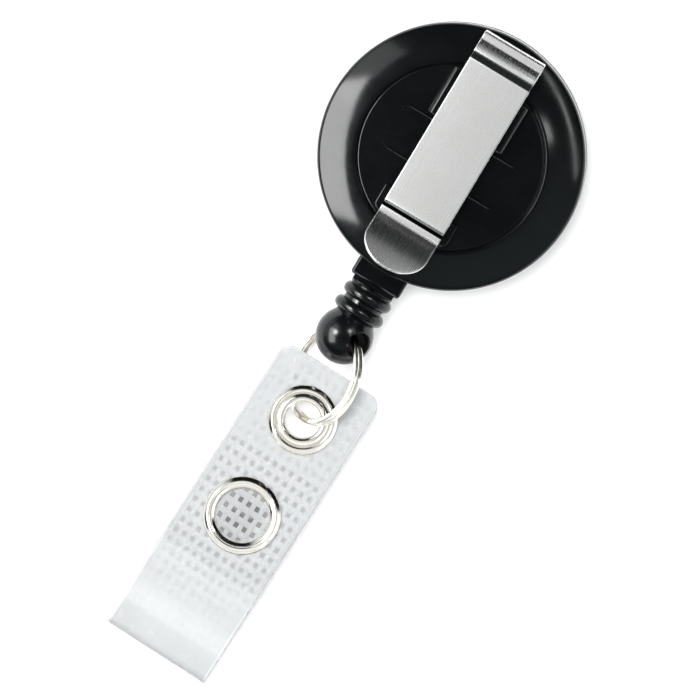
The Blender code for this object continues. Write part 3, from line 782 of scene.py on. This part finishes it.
def clip_track():
    """Side view of the whole clip: base, fold, ledge, ridge, plate, valley and tongue."""
    low_r, top_r = 0.45, 0.2
    points = [(y, BASE_Z) for y in np.linspace(-8.9, 14.5, 60)]
    points += arc((BACK_Y - low_r, BASE_Z + low_r), (low_r, low_r), -90, 0, 10)
    points += [(BACK_Y, z) for z in (10.7, 11.0, 11.4, 11.8)]
    points += arc((BACK_Y - top_r, LEDGE_Z - top_r), (top_r, top_r), 0, 90, 8)
    points += [(14.6, LEDGE_Z), (14.3, LEDGE_Z)]
    ridge = [(14.05, 12.36), (13.75, 12.6), (13.45, 12.85), (13.1, 13.0), (12.8, 13.06)]
    points += curved(ridge + [(12.6, 12.98)], 5)[1:]
    points += [(12.4, 12.83), (12.1, 12.6), (11.85, 12.4), (11.7, 12.29)]
    points += [(float(y), PLATE_Z) for y in np.linspace(11.5, -7.7, 60)]
    drop = [(-7.9, 12.22), (-8.15, 12.0), (-8.5, 11.1), (-8.7, 10.84), (-8.9, VALLEY_Z)]
    points += curved(drop, 5) + [(-9.4, VALLEY_Z)]
    for d in np.linspace(0.0, TONGUE_Y - TONGUE_TIP_Y, 30):
        rise = d * (TONGUE_SLOPE - TONGUE_CURL * d)
        points.append((float(TONGUE_Y - d), float(TONGUE_Z + rise)))
    return Track(points)


def clip_strip():
    """The clip: its base widens to the arm before the fold, and its tongue's end is round."""
    track = clip_track()
    widen_s, widen_length = 19.5, 1.6
    round_y, end_slope = 2.9, 0.65
    rows = [(0.0, BASE_W, -1.0, 1.0)]
    rows += straight_rows(0.4, widen_s, BASE_W, 0.5)
    for t in np.linspace(0, 1, 12)[1:]:
        width = BASE_W + (CLIP_W - BASE_W) * (0.5 - 0.5 * math.cos(math.pi * t))
        rows.append((widen_s + widen_length * t, width, 0.0, 1.0))
    round_s = round_y * math.hypot(1.0, end_slope)
    start = track.end - round_s
    last = widen_s + widen_length
    for s in track.length:
        if s < start - 0.02 and s - last > 0.06:
            rows.append((float(s), CLIP_W, 0.0, 1.0))
            last = s
    rows += round_end(start, 0.0, (CLIP_W, round_s), 1, 28)
    return strip_mesh("clip_strip", track, rows, CLIP_T, 0.16)


# Cord end, ball and ring ----------------------------------------------------------------

BALL_Y = -25.0
BALL_R = 3.5
BALL_CENTRE = Matrix.Translation((0, BALL_Y, PULL_Z))
RING_LEAN = Matrix.Rotation(math.radians(41), 4, "Y")
RING_R = 5.85


def ball_fitting():
    """Ribbed sleeve and ball, turned about the cord's line, with the ring's hole."""
    ball_angle = math.degrees(math.acos(2.5 / BALL_R))
    profile = arc((0.0, -BALL_Y), (BALL_R, BALL_R), 90, -ball_angle + 4, 48)
    profile += curved([(2.52, 22.42), (2.44, 22.4), (2.5, 22.36)], 3)
    profile += arc((2.4, 21.6), (0.85, 0.8), 75, -80, 16)
    profile += arc((2.4, 19.65), (0.75, 0.78), 80, -75, 16)
    profile += [(2.6, 18.86), (2.72, 18.78), (2.75, 18.66), (2.68, 18.55), (0.9, 18.55)]
    profile += [(0.75, 18.7), (0.75, 22.0), (1.15, 22.0), (1.15, 24.0), (0.0, 24.0)]
    fitting = lathe("ball_fitting", profile, STEPS // 2 + 16, PULL_LINE)
    hole_r, mouth_z, mouth_r, reach = 1.5, 2.75, 0.35, 4.5
    mouth = [(hole_r, mouth_z)]
    for a in np.radians(np.linspace(8, 86, 9)):
        mouth.append((hole_r + mouth_r * (1 - math.cos(a)), mouth_z + mouth_r * math.sin(a)))
    mouth += [(2.4, 3.14), (2.4, reach)]
    outline = [(0.0, reach)] + mouth[::-1] + [(r, -z) for r, z in mouth] + [(0.0, -reach)]
    return carve(fitting, [lathe("ring_hole", outline, 72, BALL_CENTRE @ RING_LEAN)])


RING_PLACE = (
    BALL_CENTRE
    @ RING_LEAN
    @ Matrix.Rotation(math.radians(6.4), 4, "Z")
    @ Matrix.Translation((0, 0.5 - RING_R, 0))
)


def ring_coils():
    """Two turns of rounded flat wire side by side, with one step across near the ends."""
    start, end = math.radians(22), math.radians(698)
    split_at = math.radians(215)
    count = 440
    half_x, half_r, round_r = 0.305, 0.375, 0.24
    corners = [(1, 1, 0), (-1, 1, 90), (-1, -1, 180), (1, -1, 270)]
    section = []
    for sx, sr, angle in corners:
        centre = (sx * (half_x - round_r), sr * (half_r - round_r))
        section += arc(centre, (round_r, round_r), angle, angle + 90, 4)
    apart = 0.67
    taper_length = 0.25
    verts = []
    for i in range(count + 1):
        turn = start + (end - start) * i / count
        t = min(max((math.degrees(turn) - 340) / 40, 0.0), 1.0)
        shift = -apart / 2 + apart * t * t * (3 - 2 * t)
        near = min(turn - start, end - turn) * RING_R
        taper = 0.75 + 0.25 * min(near / taper_length, 1.0) ** 0.5
        angle = turn + split_at
        for x, r in section:
            radius = RING_R + r * taper
            verts.append((shift + x * taper, radius * math.cos(angle), radius * math.sin(angle)))
    return mesh_of("ring_coils", verts, tube_faces(count + 1, len(section)), RING_PLACE)


# Strap -----------------------------------------------------------------------------------

STRAP_PLACE = Matrix.Translation((0.942, -36.13, 0)) @ Matrix.Rotation(math.radians(-1.6), 4, "Z")
STRAP_T = 0.5
STRAP_W = 6.9
FOLD_Y = -33.0
FOLD_Z = 1.25
FOLD_R = 0.65
STRAP_TOP = 6.76
STRAP_CORNER = 1.7
FILM_COLUMNS = 44
FILM_EDGE = 0.14
FILM_PITCH = 0.28
FRONT_Z = 4.9
FRONT_LEVEL_Y = -17.8
FLAP_LOW_Z = 0.6
FLAP_Z = 1.55
FLAP_LEVEL_Y = -19.5
FLAP_END_Y = -6.4
EYELET_Y = -0.15
EYELET_HOLE_R = 2.65
SNAP_Y = -13.75
SNAP_HOLE_R = 3.3
SNAP_SWELL = 0.42
EYELET_S = STRAP_TOP - EYELET_Y
SNAP_S = STRAP_TOP - SNAP_Y
SCRIM_HOLE_R = 2.9
WARPS = 12
WARP_PITCH = 1.16
WARP_W = 0.3
WEFT_PITCH = 1.45
WEFT_W = 0.4
SHORTEST_YARN = 0.3
YARN_T = 0.12
YARN_WAVE = 0.055
SIDE_GAP = 0.28
END_GAP = 0.3
CORNER_GAP = 0.4
FIRST_WEFT = SNAP_S + 0.71


def ease(y, start, end):
    """0 at start to 1 at end, level at both."""
    t = min(max((y - start) / (end - start), 0.0), 1.0)
    return 0.5 - 0.5 * math.cos(math.pi * t)


def front_z(y):
    return FRONT_Z + (FOLD_Z + FOLD_R - FRONT_Z) * ease(y, FRONT_LEVEL_Y, FOLD_Y)


def flap_z(y):
    return FLAP_LOW_Z + (FLAP_Z - FLAP_LOW_Z) * ease(y, FOLD_Y, FLAP_LEVEL_Y)


FRONT_TRACK = Track([(y, front_z(y)) for y in np.linspace(STRAP_TOP, FOLD_Y, 240)])
BEND_TRACK = Track(arc((FOLD_Y, FOLD_Z), (FOLD_R, FOLD_R), 90, 270, 40))
FLAP_TRACK = Track([(y, flap_z(y)) for y in np.linspace(FOLD_Y, FLAP_END_Y, 200)])
BEFORE_BEND = FRONT_TRACK.end
BEFORE_FLAP = BEFORE_BEND + BEND_TRACK.end


def snap_dome(x, s):
    """How the film swells inside the snap's ring: s is the length down the front layer."""
    y = STRAP_TOP - s
    r = math.hypot(x, y - SNAP_Y)
    return SNAP_SWELL * (1 - (r / SNAP_HOLE_R) ** 2) ** 1.5 if r < SNAP_HOLE_R else 0.0


def film_piece(name, track, rows, before, lift=None):
    """A piece of the strap's film; before is the strap's length ahead of it."""
    return strip_mesh(
        name, track, rows, STRAP_T, FILM_EDGE, FILM_COLUMNS, lift, STRAP_PLACE, before
    )


def film_corners(s_centre, sign):
    return round_end(s_centre, STRAP_W - STRAP_CORNER, (STRAP_CORNER, STRAP_CORNER), sign, 10)


def film_front():
    rows = film_corners(STRAP_CORNER, -1)
    rows += straight_rows(STRAP_CORNER, FRONT_TRACK.end, STRAP_W, FILM_PITCH)[1:]
    sheet = film_piece("film_front", FRONT_TRACK, rows, 0.0, snap_dome)
    place = STRAP_PLACE @ Matrix.Translation((0, EYELET_Y, FRONT_Z))
    outline = [(0, -2), (EYELET_HOLE_R, -2), (EYELET_HOLE_R, 2), (0, 2)]
    return carve(sheet, [lathe("eyelet_hole", outline, 72, place)])


def film_bend():
    rows = straight_rows(0.0, BEND_TRACK.end, STRAP_W, 0.06)
    return film_piece("film_bend", BEND_TRACK, rows, BEFORE_BEND)


def film_flap():
    corners_s = FLAP_TRACK.end - STRAP_CORNER
    rows = straight_rows(0.0, corners_s, STRAP_W, FILM_PITCH)[:-1]
    rows += film_corners(corners_s, 1)
    return film_piece("film_flap", FLAP_TRACK, rows, BEFORE_FLAP)


def yarn(track, points, half_w, along, lift, verts, faces):
    """One flattened yarn: points are (x, s, wave) down its middle."""
    ring = [(math.cos(a), math.sin(a)) for a in np.linspace(0, 2 * math.pi, 8, endpoint=False)]
    base = len(verts)
    for x, s, wave in points:
        for u, v in ring:
            px = x + (half_w * u if along else 0.0)
            ps = s + (0.0 if along else half_w * u)
            y, z = track.at(ps, wave + YARN_T / 2 * v)
            verts.append((px, y, z + (lift(px, ps) if lift else 0.0)))
    faces.extend(tube_faces(len(points), len(ring), base))


def pieces_between(low, high, cut):
    """The parts of low..high left when cut is taken out."""
    if cut is None:
        return [(low, high)]
    return [(a, b) for a, b in ((low, cut[0]), (cut[1], high)) if b - a > SHORTEST_YARN]


def corner_inset(over):
    """How far a strap's round corner cuts in, over past where the corner starts."""
    if over <= 0:
        return 0.0
    return STRAP_CORNER - math.sqrt(max(STRAP_CORNER**2 - over**2, 0.0))


def weave(name, track, before, hole=None, corner=None, lift=None):
    """Plain weave inside the film, all along a track.

    before is the strap's length ahead of the track, hole is (s, radius), and corner is
    (+1 or -1, s of that end).
    """
    verts, faces = [], []
    phase = FIRST_WEFT - before
    middle = (WARPS - 1) / 2
    warps = [WARP_PITCH * (i - middle) for i in range(WARPS)]
    for i, x in enumerate(warps):
        low, high = 0.0, track.end
        if corner:
            inset = END_GAP + corner_inset(abs(x) + CORNER_GAP - (STRAP_W - STRAP_CORNER))
            low, high = (corner[1] + inset, high) if corner[0] < 0 else (low, corner[1] - inset)
        cut = None
        if hole and abs(x) < hole[1]:
            reach = math.sqrt(hole[1] ** 2 - x * x)
            cut = (hole[0] - reach, hole[0] + reach)
        for a, b in pieces_between(low, high, cut):
            count = max(2, int((b - a) / (WEFT_PITCH / 5)))
            line = []
            for s in np.linspace(a, b, count + 1):
                wave = YARN_WAVE * math.cos(math.pi * ((s - phase) / WEFT_PITCH + i))
                line.append((x, float(s), wave))
            yarn(track, line, WARP_W, True, lift, verts, faces)
    first = math.ceil(-phase / WEFT_PITCH + 0.05)
    last = math.floor((track.end - phase) / WEFT_PITCH - 0.05)
    for k in range(first, last + 1):
        s = phase + k * WEFT_PITCH
        reach_x = STRAP_W - SIDE_GAP
        if corner:
            over = STRAP_CORNER - abs(s - corner[1]) + CORNER_GAP
            if over > STRAP_CORNER + 0.2:
                continue
            reach_x -= corner_inset(min(over, STRAP_CORNER))
        cut = None
        if hole and abs(s - hole[0]) < hole[1]:
            reach = math.sqrt(hole[1] ** 2 - (s - hole[0]) ** 2)
            cut = (-reach, reach)
        for a, b in pieces_between(-reach_x, reach_x, cut):
            count = max(2, int((b - a) / (WARP_PITCH / 5)))
            line = []
            for x in np.linspace(a, b, count + 1):
                wave = -YARN_WAVE * math.cos(math.pi * (k + x / WARP_PITCH + middle))
                line.append((float(x), s, wave))
            yarn(track, line, WEFT_W, False, lift, verts, faces)
    return mesh_of(name, verts, faces, STRAP_PLACE)


def fitting_place(y, z, flip=False):
    place = STRAP_PLACE @ Matrix.Translation((0, y, z))
    return place @ Matrix.Rotation(math.pi, 4, "X") if flip else place


# How far a fitting's seat is from the middle of the strap layer it sits on.
FACE = STRAP_T / 2 + 0.1


def eyelet():
    """Eyelet with an inner roll, a groove, an outer roll and its barrel."""
    f = FACE
    inner = [(2.15, f + 0.3), (2.3, f + 0.62), (2.62, f + 0.76), (2.95, f + 0.66)]
    inner += [(3.22, f + 0.44)]
    outer = [(3.3, f + 0.44), (3.45, f + 0.57), (3.65, f + 0.62), (3.8, f + 0.57)]
    outer += [(4.0, f + 0.42), (4.14, f + 0.3), (4.2, f + 0.18), (4.2, f)]
    low = [(3.2, -0.85), (3.22, -1.05), (3.0, -1.28), (2.6, -1.32), (2.25, -1.18), (2.15, -0.95)]
    barrel = [(2.6, f), (2.6, -0.85)]
    profile = curved(inner, 8) + curved(outer, 6) + barrel + curved(low, 6)
    return lathe("eyelet", profile, 160, fitting_place(EYELET_Y, FRONT_Z))


def eyelet_washer():
    f = FACE
    profile = [(2.75, -f), (4.1, -f), (4.2, -f - 0.1), (4.2, -0.62), (4.08, -0.75), (2.75, -0.75)]
    return lathe("eyelet_washer", profile, 128, fitting_place(EYELET_Y, FRONT_Z))


def prong_profile():
    """Snap's ring: a bevelled inner lip, a shallow groove and a rolled outer edge."""
    f = FACE
    inner = [(SNAP_HOLE_R, f), (SNAP_HOLE_R, f + 0.4), (3.36, f + 0.54), (3.52, f + 0.68)]
    inner += [(3.68, f + 0.81), (3.82, f + 0.86)]
    outer = [(3.9, f + 0.84), (4.05, f + 0.9), (4.22, f + 0.86), (4.4, f + 0.72)]
    outer += [(4.56, f + 0.58), (4.67, f + 0.42), (4.66, f)]
    return curved(inner, 6) + curved(outer, 6)


def snap_ring():
    return lathe("snap_ring", prong_profile(), 160, fitting_place(SNAP_Y, FRONT_Z))


def snap_ring_back():
    return lathe("snap_ring_back", prong_profile(), 160, fitting_place(SNAP_Y, FLAP_Z, True))


def socket_body():
    f = FACE
    profile = [(2.1, -f), (4.2, -f), (4.3, -f - 0.08), (4.3, -0.75)]
    profile += curved([(4.1, -0.85), (3.6, -1.0), (3.32, -1.3), (3.3, -1.9)], 6)
    profile += [(3.2, -2.0), (1.95, -2.0), (1.85, -1.9), (1.85, -1.65), (2.1, -1.4)]
    return lathe("socket_body", profile, 128, fitting_place(SNAP_Y, FRONT_Z))


def stud_body():
    f = FACE
    profile = [(0.0, 2.65), (1.0, 2.65)] + arc((1.12, 2.28), (0.38, 0.36), 90, -40, 8)
    profile += curved([(1.32, 1.85), (1.22, 1.6), (1.3, 1.2), (1.6, 1.04)], 5)
    profile += [(3.7, 0.95), (4.1, 0.82), (4.2, 0.65), (4.2, f), (0.0, f)]
    return lathe("stud_body", profile, 128, fitting_place(SNAP_Y, FLAP_Z))


def cord_run():
    """Cord between the spool and the knot."""
    rows = [-14.0, -15.0, -16.0, -18.35, -19.0, -20.0, -21.9]
    sides = 16
    verts = []
    for y in rows:
        for i in range(sides):
            a = 2 * math.pi * i / sides
            verts.append((CORD_R * math.cos(a), y, PULL_Z + CORD_R * math.sin(a)))
    return mesh_of("cord_run", verts, tube_faces(len(rows), sides))


# The scene ---------------------------------------------------------------------------------

add_camera()
add_world()
KEY_LIGHT = (207, 48, (50, 26))
key = add_softbox("key", *KEY_LIGHT, 6.0)
key.visible_diffuse = False
add_softbox("key_side", 166, 50, (26, 24), 1.3)
add_softbox("fill", 47, 27, (6, 6), 6.0)
add_softbox("strip", 48, 46, (40, 2.5), 4.5)
overhead = add_softbox("overhead", 125, 10, (26, 26), 22.5)
overhead.visible_glossy = False
bpy.context.scene.view_settings.view_transform = "Standard"

FLOOR_HALF = 4000.0
FLOOR_Z = -0.05
FLOOR_SIGNS = ((-1, -1), (1, -1), (1, 1), (-1, 1))
corners = [(x * FLOOR_HALF, y * FLOOR_HALF, FLOOR_Z) for x, y in FLOOR_SIGNS]
floor_mesh = mesh_of("floor", corners, [(0, 1, 2, 3)])
floor = add_piece("floor", floor_mesh, floor_paper())

BLACK = black_plastic()
CUP_BLACK = black_plastic("cup_plastic_look", 0.25)
BALL_BLACK = black_plastic("ball_plastic_look", 0.06)
STEEL = clip_steel()
NICKEL = bright_nickel()
FILM = vinyl()
YARN = scrim()
CORD = braided_cord()

show(case_front(), CUP_BLACK, "black_plastic", "case", "front_shell")
dome = show(case_back(), BLACK, "black_plastic", "case", "rear_shell", smooth_angle=50.0)
KEEPERS = [
    show(keeper_upper(), BLACK, "black_plastic", "case"),
    show(keeper_lower(), BLACK, "black_plastic", "case"),
]
EDGE_PIECES = KEEPERS + [
    show(outlet("outlet_low", False), BLACK, "black_plastic", "case"),
    show(outlet("outlet_high", True), BLACK, "black_plastic", "case"),
    show(rib("rib_upper", RIB_Y), BLACK, "black_plastic", "case"),
    show(rib("rib_lower", -RIB_Y), BLACK, "black_plastic", "case"),
]

clip = show(clip_strip(), STEEL, "clip_steel", None, "clip_base", "clip_arm", smooth_angle=60.0)
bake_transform(clip)

fitting = show(ball_fitting(), BALL_BLACK, "black_plastic", "ball", "end_ball")
coils = show(ring_coils(), NICKEL, "bright_nickel", "ring", "split_ring", smooth_angle=50.0)

film = show(film_front(), FILM, "clear_vinyl", "strap", "strap_front", smooth_angle=50.0)
show(film_flap(), FILM, "clear_vinyl", "flap", "strap_flap", smooth_angle=50.0)
bend = show(film_bend(), FILM, "clear_vinyl", None, "strap_fold", smooth_angle=50.0)
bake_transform(bend)

scrim_front = weave("scrim_front", FRONT_TRACK, 0.0, (EYELET_S, SCRIM_HOLE_R), (-1, 0.0), snap_dome)
show(scrim_front, YARN, "clear_vinyl", "strap")
bend_scrim = show(weave("scrim_bend", BEND_TRACK, BEFORE_BEND), YARN, "clear_vinyl", None)
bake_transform(bend_scrim)
scrim_flap = weave("scrim_flap", FLAP_TRACK, BEFORE_FLAP, None, (1, FLAP_TRACK.end))
show(scrim_flap, YARN, "clear_vinyl", "flap")

NICKEL_PIECES = [
    coils,
    show(eyelet(), NICKEL, "bright_nickel", "strap", "grommet_face"),
    show(eyelet_washer(), NICKEL, "bright_nickel", "strap", "grommet_back"),
    show(snap_ring(), NICKEL, "bright_nickel", "strap", "snap_cap"),
    show(socket_body(), NICKEL, "bright_nickel", "strap", "snap_socket"),
    show(stud_body(), NICKEL, "bright_nickel", "flap", "snap_stud"),
    show(snap_ring_back(), NICKEL, "bright_nickel", "flap", "snap_back"),
]

cord = show(cord_run(), CORD, "cord", None, "cord_lead")
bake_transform(cord)

light_only(add_softbox("clip_top", 258, 0.5, (52, 72), 0.73), [clip])
light_only(add_softbox("crescent", *KEY_LIGHT, 3.4, LIGHT_NEAR), [dome])
glare = add_softbox("film_glare", 265, 39.5, (50, 14), 7.0)
glare.visible_diffuse = False
light_only(glare, [film])
for name, azimuth in (("snap_left", 192), ("snap_right", 325)):
    spark = add_softbox(name, azimuth, 30, (16, 8), 16.0)
    spark.visible_diffuse = False
    light_only(spark, [film])
light_only(add_softbox("clip_ahead", 90, 52, (60, 18), 0.22), [clip])
light_only(add_softbox("nickel_top", 258, 5.2, (44, 44), 0.80), NICKEL_PIECES)
light_only(add_softbox("nickel_south", 285, 60, (100, 58), 0.95), NICKEL_PIECES)
light_only(add_softbox("nickel_east", 5, 58, (50, 52), 0.7), NICKEL_PIECES)
light_only(add_softbox("glint_south", 268, 62, (60, 20), 4.5), EDGE_PIECES)
light_only(add_softbox("glint_west", 182, 62, (40, 20), 4.5), KEEPERS)
light_only(add_softbox("ball_left", 184, 36, (14, 14), 22.0, LIGHT_NEAR), [fitting])
light_only(add_softbox("ball_right", 70, 32, (12, 12), 12.0, LIGHT_NEAR), [fitting])

KEPT = {
    "spool": spool_plastic(), "spool_lid": spool_plastic(), "power_spring": spring_steel(),
    "cord_winding": CORD, "cord_knot": CORD,
}
for node, material in KEPT.items():
    for material_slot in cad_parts[node].material_slots:
        material_slot.material = material
